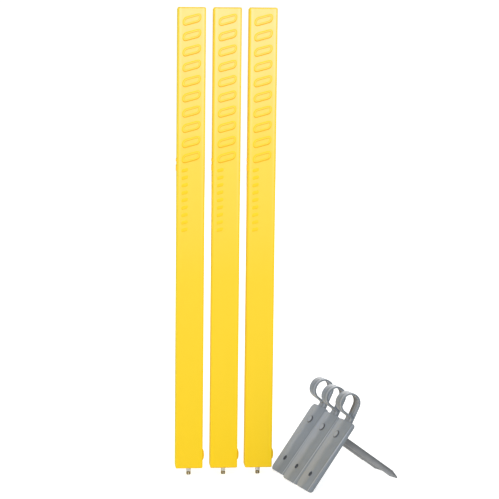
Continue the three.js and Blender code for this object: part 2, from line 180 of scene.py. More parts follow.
class BaseSettings(bpy.types.PropertyGroup):
    """Sizes and colours of the steel ground bases."""

    heading: turn("Heading", "Heading of the spikes", 18.8)
    plate_length: length("Plate length", "Length of the plate along its ridge", 123.0)
    half_width: length("Half width", "From the ridge to either side of the plate", 23.5)
    sheet: length("Sheet", "Thickness of the plate", 2.4)
    rise: length("Rise", "Height of the ridge over the sides", 2.5)
    ridge_round: length("Ridge round", "Bend radius of the ridge", 40.0)
    fold_round: length("Fold round", "Bend radius of the flange at mid sheet", 2.2)
    flange: length("Flange", "Depth of the flange behind the ridge", 7.6)
    flange_corner: length("Flange corner", "Rounding at the ends of the flange", 5.2)
    corner: length("Corner", "Rounding of the free corners", 8.0)
    taper: length("Taper", "Fall of the ends towards the free side", 0.3)
    sheared: length("Sheared edge", "Rounding of the sheared edges", 0.35)
    pin_hole: length("Pin hole", "Radius of the hole for the stump's pin", 4.0)
    pin_hole_up: length("Pin hole up", "From the lower end to the pin hole", 25.3)
    hole_flare: length("Hole flare", "Rounded rim of the holes", 0.45)
    plunge: length("Plunge", "Depth of the rim drawn out behind the pin hole", 3.2)
    plunge_wall: length("Plunge wall", "Wall of the rim drawn out behind the pin hole", 1.3)
    spike_up: length("Spike up", "From the lower end to the spike", 97.5)
    spike_reach: length("Spike reach", "From the ridge to the tip of the spike", 134.0)
    spike_radius: length("Spike radius", "Radius of the spike's shaft", 5.0)
    spike_edge: length("Spike edge", "Rounding of the spike's shoulder and facets", 0.4)
    point: length("Point", "From the tip to where the point's corners meet the shaft", 12.8)
    blunt: length("Blunt", "From the middle to the corners of the blunt tip", 1.2)
    tenon: length("Tenon", "Radius of the tenon through the plate", 3.7)
    head: length("Head", "Radius of the peened head", 5.7)
    head_rise: length("Head rise", "Height of the peened head", 1.2)
    head_seat: length("Head seat", "How deep the head is pressed into the ridge", 0.4)
    head_round: length("Head round", "Rounding of the peened head", 0.9)
    strip_width: length("Strip width", "Width of the loop's strip", 20.0)
    strip: length("Strip", "Thickness of the loop's strip", 2.5)
    strip_edge: length("Strip edge", "Rounding of the strip's edges", 0.9)
    tail: length("Tail", "Strip behind the plate beyond the spike", 13.0)
    ring: length("Ring", "Radius of the finger ring at mid strip", 15.0)
    ring_near: length("Ring near", "From the plate's end to the ring", 9.5)
    ring_front: length("Ring front", "From the ridge to the front of the ring", 27.6)
    ring_corner_share: FloatProperty(
        name="Ring corner share", description="Corner radius as a share of the ring's", default=0.97
    )
    lean: length("Lean", "How far the ring's back leans forward", 7.5)
    neck_drop: length("Neck drop", "Fall of the strip from the ring to the neck", 1.2)
    neck_round: length("Neck round", "Bend radius at the neck", 4.0)
    lean_round: length("Lean round", "Bend radius where the back starts to lean", 30.0)
    gap: length("Gap", "Clearance between touching pieces", 0.3)
    # Painted light on the plate's lighter side and on the spike's head.
    painted_lit_zinc: tone("Light zinc", "Plating on the plate's lighter side", 0.352, 0.39, 0.458)
    mid_zinc: tone("Mid zinc", "Paler patches of the plating", 0.262, 0.3, 0.356)
    dark_zinc: tone("Dark zinc", "Darker patches of the plating", 0.228, 0.264, 0.32)
    # Painted shade on the flange, beside the fold, and in a streak, on the left edge and on the sheared sides
    # of the loop.
    painted_dull_shade: tone("Dull zinc", "Duller plating on the sheared sides", 0.18, 0.205, 0.23)
    # Painted light where the loop turns up or under.
    painted_bright_zinc: tone("Bright zinc", "Plating where the loop turns up or under", 0.47, 0.495, 0.53)
    # Painted light on the spike's underside and painted shade on its top and by the plate; the dark one also
    # darkens its random mottle.
    bar_painted_light: tone("Light bar", "Underside of the spike", 0.35, 0.36, 0.37)
    bar_shade_and_mottle: tone("Dark bar", "Top of the spike", 0.095, 0.102, 0.11)
    # A painted warm reflection along the spike's underside.
    painted_tan_reflection: tone("Tan line", "Thin line under the spike", 0.5, 0.46, 0.4)
    # Painted brown shade deep inside the ring.
    painted_brown_shade: tone("Stain", "Brown film deep inside the ring", 0.1, 0.085, 0.07)
    # Painted highlights along the plate's fold and in a streak along the loop.
    painted_highlight: tone("Rubbed edge", "Edges worn bright", 0.42, 0.46, 0.54)
    # Painted shade where pieces meet, in the pin hole, round the spike's head and at the flange's upper end.
    painted_deep_shade: tone("Grime", "Dull film where pieces meet", 0.03, 0.03, 0.03)


class StageSettings(bpy.types.PropertyGroup):
    """Camera and light of the studio."""

    focal_share: FloatProperty(name="Focal", description="In picture widths", default=4.0638, min=0.1)
    azimuth: turn("Azimuth", "Camera heading, to the right", -5.871)
    tilt: turn("Tilt", "How far the camera looks down", 9.08)
    roll: turn("Roll", "How far the camera leans", 0.65)
    distance: length("Distance", "From the camera to the middle stump, along the ground", 3073.4)
    height: length("Height", "Height of the camera", 845.3)
    aside: length("Aside", "Sideways shift of the camera from the middle stump", 37.6)
    floor_size: length("Floor", "Side of the square floor", 60000.0)
    ambient: FloatProperty(name="Ambient", description="Strength of the sky", default=0.55, min=0)
    backdrop: FloatProperty(name="Backdrop", description="White that the camera sees", default=1.0, min=0)
    floor_glow: FloatProperty(name="Floor glow", description="White added to the floor", default=0.58, min=0)
    paper: tone("Paper", "Colour of the floor", 0.86, 0.86, 0.86)


# Modelling helpers


def clear_selection():
    """Leaves nothing selected, in object mode."""
    if bpy.context.object and bpy.context.object.mode != "OBJECT":
        bpy.ops.object.mode_set(mode="OBJECT")
    bpy.ops.object.select_all(action="DESELECT")


def activate(piece):
    """Makes one piece the only selected and active one."""
    clear_selection()
    piece.select_set(True)
    bpy.context.view_layer.objects.active = piece


def fresh(name, scale=(1, 1, 1)):
    """Names the primitive just added and puts its place and size in its mesh."""
    piece = bpy.context.object
    piece.name = name
    piece.scale = scale
    bpy.ops.object.transform_apply(location=True, rotation=True, scale=True)
    return piece


def add_box(name, low, high):
    """A box from its lowest to its highest corner."""
    clear_selection()
    low, high = Vector(low), Vector(high)
    bpy.ops.mesh.primitive_cube_add(size=1, location=(low + high) / 2)
    return fresh(name, high - low)


def add_bar(name, radius, low, high, up=0.0, sides=PLAIN):
    """An upright round bar from one height to another."""
    clear_selection()
    bpy.ops.mesh.primitive_cylinder_add(
        vertices=sides, radius=radius, depth=high - low, location=(0, up, (low + high) / 2)
    )
    return fresh(name)


def add_sheet(name, low, high):
    """A flat sheet from its lowest to its highest corner."""
    clear_selection()
    low, high = Vector(low), Vector(high)
    bpy.ops.mesh.primitive_plane_add(size=1, location=(low + high) / 2)
    return fresh(name, (high.x - low.x, high.y - low.y, 1))


def choose(piece, kind, test):
    """Opens a piece for editing with only those vertices, edges or faces chosen that pass the test."""
    if bpy.context.object is not piece or piece.mode != "EDIT":
        activate(piece)
        bpy.ops.object.mode_set(mode="EDIT")
    bpy.ops.mesh.select_mode(type=kind)
    bpy.ops.mesh.select_all(action="DESELECT")
    shape = bmesh.from_edit_mesh(piece.data)
    shape.normal_update()
    for item in {"VERT": shape.verts, "EDGE": shape.edges, "FACE": shape.faces}[kind]:
        if test(item):
            item.select_set(True)
    shape.select_flush_mode()
    bmesh.update_edit_mesh(piece.data)


def finish_edit():
    """Closes edit mode."""
    bpy.ops.object.mode_set(mode="OBJECT")


def move(x=0.0, y=0.0, z=0.0):
    """Moves what is chosen."""
    bpy.ops.transform.translate(value=(x, y, z))


def extrude(x=0.0, y=0.0, z=0.0):
    """Extrudes what is chosen along one direction."""
    bpy.ops.mesh.extrude_region_move(TRANSFORM_OT_translate={"value": (x, y, z)})


def bevel(offset, segments, affect="EDGES"):
    """Rounds the chosen edges or corners."""
    bpy.ops.mesh.bevel(offset_type="OFFSET", offset=offset, segments=segments, affect=affect, profile=0.5)


def round_edges(piece, axis, level, radius, segments):
    """Rounds a piece's edges that lie on one plane."""
    choose(piece, "EDGE", lambda edge: on_plane(edge, axis, level))
    bevel(radius, segments)


def near(value, target):
    """Whether two lengths agree."""
    return abs(value - target) < TOUCH


def on_top(side, level):
    """Whether a face looks up, in the drawing, at one level."""
    return side.normal.z > FACING and near(side.calc_center_median().z, level)


def on_plane(edge, axis, target):
    """Whether both ends of an edge lie on one plane."""
    return all(near(vertex.co[axis], target) for vertex in edge.verts)


def runs_along(edge, axis):
    """Whether an edge runs along one axis."""
    reach = edge.verts[1].co - edge.verts[0].co
    return near(abs(reach[axis]), reach.length)


def apply_modifier(piece, kind, **values):
    """Adds a modifier with these values and applies it."""
    activate(piece)
    bpy.ops.object.modifier_add(type=kind)
    modifier = piece.modifiers[-1]
    for key, value in values.items():
        setattr(modifier, key, value)
    bpy.ops.object.modifier_apply(modifier=modifier.name)
    return piece


def thicken(piece, thickness):
    """Gives a sheet its thickness, evenly to both sides."""
    return apply_modifier(piece, "SOLIDIFY", thickness=thickness, offset=0, use_even_offset=True)


def ease(piece, width):
    """Rounds the sharp edges of a piece a little."""
    return apply_modifier(piece, "BEVEL", width=width, segments=3, limit_method="ANGLE", angle_limit=SHARP)


def combine(piece, other, how):
    """Joins, cuts or intersects a piece with another, which is used up."""
    apply_modifier(piece, "BOOLEAN", operation=how, solver="EXACT", object=other)
    bpy.data.objects.remove(other, do_unlink=True)
    if not piece.data.polygons:
        raise RuntimeError(f"nothing is left of {piece.name}")
    return piece


def joined(pieces):
    """Several separate pieces as one."""
    clear_selection()
    for piece in pieces:
        piece.select_set(True)
    bpy.context.view_layer.objects.active = pieces[0]
    bpy.ops.object.join()
    return pieces[0]


def outward(piece):
    """Merges doubles and turns the normals outwards."""
    choose(piece, "VERT", lambda vertex: True)
    bpy.ops.mesh.remove_doubles(threshold=DOUBLE)
    bpy.ops.mesh.normals_make_consistent(inside=False)
    finish_edit()
    return piece


def polish(piece, angle=34):
    """Smooth shading that keeps the flat faces flat and the true edges crisp."""
    activate(piece)
    bpy.ops.object.shade_smooth_by_angle(angle=math.radians(angle))
    return apply_modifier(piece, "WEIGHTED_NORMAL", keep_sharp=True, weight=60)


def spread(model, name, places, body, material):
    """Puts a copy of the model at each place, instead of the CAD node of that name, and drops the model."""
    drawn = model.data.attributes.new("drawn", "FLOAT_VECTOR", "POINT")
    drawn.data.foreach_set("vector", [value for vertex in model.data.vertices for value in vertex.co])
    for index, matrix in zip(COPIES, places):
        twin = model.copy()
        twin.data = model.data.copy()
        twin.data.transform(matrix)
        twin.name = twin.data.name = "smooth_" + name.format(index)
        bpy.context.collection.objects.link(twin)
        twin.data.materials.clear()
        twin.data.materials.append(material)
        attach(twin, body.format(index))
        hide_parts(name.format(index))
    bpy.data.objects.remove(model, do_unlink=True)


# Places in the frame


def stump_places():
    """The middle of each stump's pin, on the ground."""
    places = []
    for index in COPIES:
        low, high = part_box(f"stump_{index}_pin_tip")
        places.append(Matrix.Translation(((low.x + high.x) / 2, (low.y + high.y) / 2, CAD_LOW.z)))
    return places


def stump_body(look):
    """The first stump's body about its own pin: sides, face, back, both sides of the seam, foot and tops."""
    pin = stump_places()[0].translation
    front_low, front_high = [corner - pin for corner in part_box("stump_1_front_shell")]
    back_low, back_high = [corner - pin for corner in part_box("stump_1_back_shell")]
    return {
        "left": back_low.x,
        "right": back_high.x,
        "face": front_low.y + look.relief,
        "back": back_high.y,
        "front_seam": front_high.y,
        "back_seam": back_low.y,
        "foot": front_low.z,
        "top": front_high.z,
        "back_top": back_high.z,
    }


def resting_lean(look):
    """The plate leans until the rounded flange corner and the spike's tip touch the ground together."""
    run = look.spike_up - look.blunt - look.flange_corner
    drop = look.spike_reach + look.flange_corner - look.flange
    return math.atan2(drop, run) - math.asin(look.flange_corner / math.hypot(drop, run))


def base_places(look, model, node):
    """From the flat drawing of a base to each standing base, by the box of the CAD node it stands for."""
    tilted = Matrix.Rotation(look.heading - math.pi / 2, 4, "Z") @ Matrix.Rotation(resting_lean(look), 4, "X")
    points = [tilted @ vertex.co for vertex in model.data.vertices]
    low = Vector([min(point[axis] for point in points) for axis in (X, Y, Z)])
    high = Vector([max(point[axis] for point in points) for axis in (X, Y, Z)])
    places = []
    for index in COPIES:
        node_low, node_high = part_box(node.format(index))
        places.append(Matrix.Translation((node_low + node_high - low - high) / 2) @ tilted)
    return places


def strip_layers(look):
    """Heights of the loop's front and back layer behind the plate, and of the spike's shoulder below them."""
    top = -look.rise / look.half_width * look.strip_width / 2 - look.sheet - look.gap
    front = top - look.strip / 2
    back = front - look.strip - look.gap
    return front, back, back - look.strip / 2 - look.gap


# Finishes


class Nodes:
    """A node tree under construction, with short ways to add and link its nodes."""

    def __init__(self, tree):
        self.tree = tree
        tree.nodes.clear()

    def add(self, kind, **values):
        """A node with these settings."""
        node = self.tree.nodes.new("ShaderNode" + kind)
        for key, value in values.items():
            setattr(node, key, value)
        return node

    def put(self, socket, value):
        """Links or sets one input."""
        if isinstance(value, bpy.types.NodeSocket):
            self.tree.links.new(value, socket)
        elif socket.type == "RGBA":
            socket.default_value = (*value, 1)
        else:
            socket.default_value = value

    def feed(self, node, *values, **named):
        """Links or sets a node's inputs, in order or by name."""
        for socket, value in zip(node.inputs, values):
            self.put(socket, value)
        for key, value in named.items():
            self.put(node.inputs[key.replace("_", " ")], value)
        return node

    def maths(self, operation, first, second=0.0):
        """One step of arithmetic."""
        return self.feed(self.add("Math", operation=operation), first, second).outputs[0]

    def plus(self, first, second):
        """The sum of two values."""
        return self.maths("ADD", first, second)

    def minus(self, first, second):
        """One value less another."""
        return self.maths("SUBTRACT", first, second)

    def times(self, first, second):
        """The product of two values."""
        return self.maths("MULTIPLY", first, second)

    def split(self, vector):
        """The three numbers of a place or a direction."""
        return self.feed(self.add("SeparateXYZ"), vector).outputs

    def span(self, value, low, high, start=0.0, end=1.0, smooth=False):
        """Carries one range of values over to another."""
        node = self.add("MapRange", interpolation_type="SMOOTHSTEP" if smooth else "LINEAR")
        return self.feed(node, value, low, high, start, end).outputs[0]

    def fade(self, value, none, full, strength=1.0, smooth=False):
        """Nothing where a value is at the first limit, rising to full strength at the second."""
        return self.span(value, none, full, 0.0, strength, smooth)

    def band(self, value, middle, half, strength=1.0):
        """Full at the middle of a band, fading to nothing at its edges."""
        return self.span(self.maths("ABSOLUTE", self.minus(value, middle)), 0.0, half, strength, 0.0, True)

    def white_rays(self):
        """One for the rays of the camera, of reflections and through glass."""
        path = self.add("LightPath")
        seen = self.maths("MAXIMUM", path.outputs["Is Camera Ray"], path.outputs["Is Glossy Ray"])
        return self.maths("MAXIMUM", seen, path.outputs["Is Transmission Ray"])


class Finish(Nodes):
    """A material under construction, with its colour so far."""

    def __init__(self, name, colour):
        self.material = bpy.data.materials.new(name)
        self.material.use_nodes = True
        super().__init__(self.material.node_tree)
        self.shader = self.add("BsdfPrincipled")
        self.output = self.add("OutputMaterial")
        self.tree.links.new(self.shader.outputs[0], self.output.inputs["Surface"])
        self.place = self.add("TexCoord").outputs["Object"]
        self.colour = colour

    def tint(self, factor, shade):
        """Blends one more colour into the colour so far."""
        node = self.add("Mix", data_type="RGBA")
        for index, value in zip(MIX_INPUTS, (factor, self.colour, shade)):
            self.put(node.inputs[index], value)
        self.colour = node.outputs[MIX_RESULT]

    def done(self, **surface):
        """The material, with its colour and these settings on its shader."""
        self.feed(self.shader, self.colour, **surface)
        return self.material

    def noise(self, scale, detail=3.0, roughness=0.5, stretch=(1, 1, 1)):
        """Soft random values on the piece, so many to the metre."""
        mapping = self.feed(self.add("Mapping"), Vector=self.place, Scale=stretch)
        node = self.feed(self.add("TexNoise"), Vector=mapping.outputs[0], Scale=scale, Detail=detail)
        self.put(node.inputs["Roughness"], roughness)
        return node.outputs[0]

    def patches(self, scale, detail=3.0, start=0.0, end=1.0):
        """Soft random patches between two values."""
        return self.span(self.noise(scale, detail), 0.3, 0.7, start, end)

    def bump(self, height, strength, distance, under=None):
        """Fine relief, laid over another if one is given."""
        node = self.feed(self.add("Bump"), Strength=strength, Distance=distance, Height=height)
        if under:
            self.put(node.inputs["Normal"], under)
        return node.outputs[0]

    def creases(self, distance, strength, light=0.9, dark=0.4):
        """Full in the creases, where other surfaces are close by, and nothing in the open."""
        node = self.add("AmbientOcclusion", samples=8)
        node.inputs["Distance"].default_value = distance
        return self.fade(node.outputs["AO"], light, dark, strength)

    def normal(self):
        """The direction the surface faces."""
        return self.add("NewGeometry").outputs["Normal"]

    def toward(self, direction):
        """How far the surface faces one way: 1 straight there, -1 straight away."""
        node = self.add("VectorMath", operation="DOT_PRODUCT")
        return self.feed(node, self.normal(), direction).outputs["Value"]

    def drawn(self):
        """Across, along and out on the model as it was drawn, before it was put in its place."""
        return self.split(self.add("Attribute", attribute_name="drawn").outputs["Vector"])

    def from_rim(self, across, along, up, radius):
        """How far a spot on a base is from the rim of the round hole or head that is so far up its ridge."""
        rise = self.minus(along, up)
        square = self.plus(self.times(across, across), self.times(rise, rise))
        return self.minus(self.maths("SQRT", square), radius)


def yellow_plastic(look):
    """Glossy moulded plastic, paler towards the top partly as painted light from above, with painted shade on
    the edges and in the creases and painted light on the left sides.
    """
    finish = Finish("Yellow moulded plastic", look.deep)
    body = stump_body(look)
    foot, tall = body["foot"], body["top"] - body["foot"]
    _, out, height = finish.split(finish.place)
    facing_right, facing_back, facing_up = finish.split(finish.normal())
    flatness = finish.maths("ABSOLUTE", facing_back)

    # The tones up the body, each between two shares of its height, paler towards the top partly as painted
    # light from above, and faint clouds in them.
    for low, high, shade in ((0.0, 0.42, look.middle), (0.42, 0.68, look.light), (0.68, 0.98, look.pale)):
        finish.tint(finish.fade(height, foot + low * tall, foot + high * tall), shade)
    clouds = finish.noise(14.0, detail=2.0)
    finish.tint(finish.fade(clouds, 0.35, 0.65, 0.15), look.middle)

    # Deeper on top of the raised pattern, most of all on the dashes below the bars.
    face = stump_places()[0].translation.y + body["face"]
    just_raised, fully_raised = face - 0.2 * look.relief, face - 0.9 * look.relief
    finish.tint(finish.fade(out, just_raised, fully_raised, 0.45), look.middle)
    first_dash = body["top"] - look.dash_top
    below_bars = finish.fade(height, first_dash + 6 * MM, first_dash + 4 * MM)
    finish.tint(finish.times(below_bars, finish.fade(out, face, just_raised, 0.8)), look.deep)

    # Across the face: deeper beside the pattern, a painted highlight up each margin, and deeper again at the
    # edges as painted shade.
    left, right = body["left"] + look.left_margin, body["right"] - look.right_margin
    off_middle = finish.maths("ABSOLUTE", finish.minus(finish.drawn()[0], (left + right) / 2))
    off = finish.minus(off_middle, (right - left) / 2)
    line, line_half, edge_from, edge_full = 2.8 * MM, 2 * MM, 3.6 * MM, 4.4 * MM
    finish.tint(finish.fade(off, 1.5 * MM, -0.5 * MM, 0.15), look.middle)
    upper = finish.fade(height, foot + 0.5 * tall, foot + 0.8 * tall, 0.3)
    finish.tint(finish.times(finish.band(off, line, line_half), upper), look.pale)
    finish.tint(finish.fade(off, edge_from, edge_full, 0.55), look.painted_edge_shade)

    # Painted shade on the rounded edges, the flanks of the pattern and the narrow sides, and painted light on
    # the left sides, which the neighbours shade.
    side = finish.plus(finish.fade(flatness, 0.998, 0.95, 0.85), finish.fade(flatness, 0.8, 0.4, 0.1))
    finish.tint(side, look.painted_edge_shade)
    finish.tint(finish.fade(facing_right, -0.4, -0.9, 0.9), look.painted_left_light)

    # Painted shade, deepest on the undersides of the pattern, less so on the dashes, and in all creases.
    under = finish.times(finish.fade(facing_up, -0.12, -0.35), finish.fade(flatness, 0.3, 0.7, 0.9))
    finish.tint(finish.times(under, finish.span(below_bars, 0.0, 1.0, 1.0, 0.4)), look.crease_shade_and_patches)
    finish.tint(finish.creases(2.5 * MM, 0.6), look.crease_shade_and_patches)

    # Glossy on the faces, dull on the sides, with a slow wave down the face and a fine grain.
    rough = finish.maths("MAXIMUM", finish.patches(60.0, start=0.3, end=0.4), side)
    wave = finish.bump(finish.noise(25.0, detail=1.0, stretch=(1, 1, 0.3)), strength=0.12, distance=2 * MM)
    grain = finish.bump(finish.noise(1500.0, detail=2.0), 0.05, 0.2 * MM, under=wave)
    return finish.done(Roughness=rough, Normal=grain, Specular_IOR_Level=0.15)


def plain_plastic(look):
    """Unpolished plastic of the hidden plug."""
    finish = Finish("Plain moulded plastic", look.deep)
    finish.tint(finish.patches(90.0), look.crease_shade_and_patches)
    grain = finish.bump(finish.noise(900.0), 0.1, 0.3 * MM)
    return finish.done(Roughness=finish.patches(300.0, 2.0, 0.5, 0.7), Normal=grain)


def turned_steel(look):
    """Bright sleeve with fine turning rings."""
    finish = Finish("Turned steel", look.steel)
    finish.tint(finish.patches(400.0), look.smoked_steel)
    wave = finish.add("TexWave", wave_type="BANDS", bands_direction="Z")
    rings = finish.feed(wave, Vector=finish.place, Scale=900.0, Distortion=0.6, Detail=2.0).outputs[1]
    grooves = finish.bump(rings, 0.15, 0.1 * MM)
    return finish.done(Roughness=finish.span(rings, 0.0, 1.0, 0.22, 0.38), Normal=grooves, Metallic=0.9)


def dull_brass(look):
    """Brass gone dull, darker in the slot."""
    finish = Finish("Dull brass", look.brass)
    dull = finish.span(finish.noise(500.0, 4.0, 0.6), 0.38, 0.62)
    finish.tint(dull, look.tarnish)
    finish.tint(finish.creases(1.2 * MM, 1.0, dark=0.3), look.tarnish)
    pits = finish.bump(finish.noise(2500.0), 0.15, 0.1 * MM)
    return finish.done(Roughness=finish.span(dull, 0.0, 1.0, 0.3, 0.5), Normal=pits, Metallic=0.85)


class Zinc(Finish):
    """Satin zinc plating, with its broad and fine mottle."""

    def __init__(self, name, colour):
        super().__init__(name, colour)
        self.broad = self.noise(70.0, 3.0, 0.55)
        self.fine = self.noise(420.0, 4.0, 0.6)
        both = self.plus(self.times(self.broad, 0.65), self.times(self.fine, 0.35))
        self.mottle = self.span(both, 0.38, 0.62)

    def plated(self, look):
        """The material, with painted shade where pieces meet, and its satin surface."""
        self.tint(self.creases(3 * MM, 0.8, 0.8, 0.3), look.painted_deep_shade)
        rough = self.span(self.mottle, 0.0, 1.0, 0.5, 0.62)
        grain = self.bump(self.fine, 0.12, 0.4 * MM, self.bump(self.broad, 0.12, 1.2 * MM))
        return self.done(Roughness=rough, Normal=grain, Metallic=0.15)


def standing(look, across, along, out):
    """A direction in the flat drawing of a base, turned as the standing bases are."""
    turned = Matrix.Rotation(look.heading - math.pi / 2, 3, "Z") @ Matrix.Rotation(resting_lean(look), 3, "X")
    return turned @ Vector((across, along, out))


def zinc_sheet(look):
    """The plate: painted light away from the flange, with a painted highlight along the fold and painted
    shade on its edges.
    """
    finish = Zinc("Zinc plated sheet", look.dark_zinc)
    finish.tint(finish.mottle, look.mid_zinc)
    across, along, out = finish.drawn()
    flange_side = finish.toward(standing(look, 1, 0, 0))

    # Painted light on the light side, which begins along an uneven line by the ridge and ends in a dark edge
    # of painted shade.
    wander, light_from, light_full, edge_from, edge_full = 12 * MM, 5 * MM, -9 * MM, -20 * MM, -24 * MM
    uneven = finish.plus(across, finish.times(finish.minus(finish.broad, 0.5), wander))
    finish.tint(finish.fade(uneven, light_from, light_full, smooth=True), look.painted_lit_zinc)
    finish.tint(finish.fade(across, edge_from, edge_full, 0.9), look.dark_zinc)

    # Along the fold, which runs a little askew: a line of painted shade, and a painted highlight on the
    # rounded edge.
    slant, shade_line, shade_half, highlight_line, highlight_half = 0.042, 15.3 * MM, 2 * MM, 17.9 * MM, 1.8 * MM
    askew = finish.minus(across, finish.times(along, slant))
    finish.tint(finish.band(askew, shade_line, shade_half, 0.5), look.painted_dull_shade)
    in_front = finish.fade(flange_side, 0.85, 0.5, 0.95)
    finish.tint(finish.times(finish.band(askew, highlight_line, highlight_half), in_front), look.painted_highlight)

    # The flange has painted shade, darkest at its upper end.
    end_from, end_full, depth_from, depth_full = 112 * MM, 119 * MM, -3.5 * MM, -6 * MM
    upper_end = finish.times(finish.fade(along, end_from, end_full), finish.fade(out, depth_from, depth_full))
    finish.tint(upper_end, look.painted_deep_shade)
    finish.tint(finish.fade(flange_side, 0.5, 0.9), look.painted_dull_shade)

    # Painted shade inside the pin hole and round the spike's head.
    rim_from, rim_full, ring, ring_half = 0.4 * MM, 0.1 * MM, 0.5 * MM, 1.1 * MM
    from_hole = finish.from_rim(across, along, look.pin_hole_up, look.pin_hole)
    finish.tint(finish.fade(from_hole, rim_from, rim_full, 0.6), look.painted_deep_shade)
    from_head = finish.from_rim(across, along, look.spike_up, look.head)
    finish.tint(finish.band(from_head, ring, ring_half, 0.4), look.painted_deep_shade)
    return finish.plated(look)


def zinc_strip(look):
    """The loop: painted highlight and shade in streaks along it, painted shade on its sides, painted light
    where it turns up or under, painted brown shade deep in the ring.
    """
    finish = Zinc("Zinc plated strip", look.dark_zinc)
    finish.tint(finish.mottle, look.mid_zinc)
    across, along, out = finish.drawn()

    # Painted light where it turns away from the front, at the back of the ring and by the neck.
    facing_front = finish.toward(standing(look, 0, -0.34, 0.94))
    finish.tint(finish.fade(facing_front, 0.95, 0.6), look.painted_bright_zinc)
    back_from, back_full, low_from, low_full = 136 * MM, 140 * MM, 14 * MM, 8 * MM
    behind = finish.times(finish.fade(along, back_from, back_full), finish.fade(out, low_from, low_full, 0.5))
    finish.tint(behind, look.painted_bright_zinc)
    neck_from, neck_full, sunk_from, sunk_full = 133 * MM, 129 * MM, -1 * MM, -3 * MM
    neck = finish.times(finish.fade(along, neck_from, neck_full, 0.4), finish.fade(out, sunk_from, sunk_full))
    finish.tint(neck, look.painted_bright_zinc)

    # Streaks along the strip: a painted highlight, a painted shade, and painted shade on the left edge.
    highlight_streak, highlight_streak_half, shade_streak, shade_half = 6.6 * MM, 2 * MM, 2 * MM, 2.6 * MM
    finish.tint(finish.band(across, highlight_streak, highlight_streak_half, 0.85), look.painted_highlight)
    finish.tint(finish.band(across, shade_streak, shade_half, 0.65), look.painted_dull_shade)
    edge_from, edge_full = -7 * MM, -9 * MM
    finish.tint(finish.fade(across, edge_from, edge_full, 0.6), look.painted_dull_shade)

    # Painted brown shade in the depth of the ring, and painted shade on the sheared sides.
    finish.tint(finish.times(behind, finish.fade(across, 0.0, -3.5 * MM, 1.3)), look.painted_brown_shade)
    sideways = finish.maths("ABSOLUTE", finish.toward(standing(look, 1, 0, 0)))
    finish.tint(finish.fade(sideways, 0.2, 0.6), look.painted_dull_shade)
    return finish.plated(look)


def zinc_bar(look):
    """The spike: painted shade above and by the plate, painted light below, with a thin painted warm
    reflection along its underside.
    """
    finish = Zinc("Zinc plated bar", look.bar_painted_light)
    across, along, out = finish.drawn()
    # Painted shade on the upper side and by the plate, a painted warm reflection along the underside, and
    # darker random mottle.
    facing_up = finish.toward(SPIKE_TOP)
    finish.tint(finish.fade(facing_up, -0.9, 0.75), look.bar_shade_and_mottle)
    far_down, by_the_plate = -90 * MM, -20 * MM
    finish.tint(finish.fade(out, far_down, by_the_plate, 0.5), look.bar_shade_and_mottle)
    line, line_half = -0.95, 0.15
    finish.tint(finish.band(facing_up, line, line_half, 0.8), look.painted_tan_reflection)
    finish.tint(finish.times(finish.mottle, 0.15), look.bar_shade_and_mottle)

    # The peened head gets the plate's painted light, with painted shade round its rim.
    finish.tint(finish.fade(finish.toward(standing(look, 0, 0, 1)), 0.7, 0.9), look.painted_lit_zinc)
    rim, rim_half, sunk = -0.4 * MM, 1.4 * MM, -1 * MM
    ring = finish.band(finish.from_rim(across, along, look.spike_up, look.head), rim, rim_half)
    finish.tint(finish.times(ring, finish.fade(out, sunk, 0.0, 0.6)), look.bar_shade_and_mottle)
    return finish.plated(look)


def white_paper(look):
    """White paper that reads white to the camera and in the metal, and keeps a soft shadow."""
    finish = Finish("White paper", look.paper)
    glow = finish.feed(finish.add("Emission"), Strength=finish.times(finish.white_rays(), look.floor_glow))
    total = finish.feed(finish.add("AddShader"), finish.shader.outputs[0], glow.outputs[0])
    finish.put(finish.output.inputs["Surface"], total.outputs[0])
    return finish.done(Roughness=finish.patches(3.0, 2.0, 0.85, 0.95), Specular_IOR_Level=0.0)


# Stumps


def relief_bar(look, body, left, top, width, height, slope, rounding, steps):
    """One raised slanted bar with rounded corners and root, and the rim and middle that its steps give."""
    face = body["face"]
    low = (left, face + look.relief / 8, top - slope - height)
    piece = add_box("bar", low, (left + width, face + look.root, top - slope))
    choose(piece, "VERT", lambda vertex: near(vertex.co.x, left + width))
    move(z=slope)
    choose(piece, "EDGE", lambda edge: runs_along(edge, Y))
    bevel(rounding, segments=5)
    choose(piece, "FACE", lambda side: side.normal.y < -FACING)
    for across, rise in steps:
        bpy.ops.mesh.inset(thickness=across * look.relief, depth=rise * look.relief, use_even_offset=True)
    finish_edit()
    return piece


def relief_pattern(look, body):
    """Broad slanted bars down the upper face, and short dashes below them."""
    left = body["left"] + look.left_margin
    bar_width = body["right"] - look.right_margin - left
    bars = []
    for place in range(look.bar_count):
        top = body["top"] - look.bar_top - place * look.bar_pitch
        sizes = (bar_width, look.bar_height, look.bar_slope, look.bar_corner)
        bars.append(relief_bar(look, body, left, top, *sizes, ROUND_OVER_SHARES + DISH_SHARES))
    for place in range(look.dash_count):
        top = body["top"] - look.dash_top - place * look.dash_pitch
        sizes = (look.dash_width, look.dash_height, look.dash_slope, look.dash_corner)
        bars.append(relief_bar(look, body, left, top, *sizes, DASH_SHARES))
    return joined(bars)


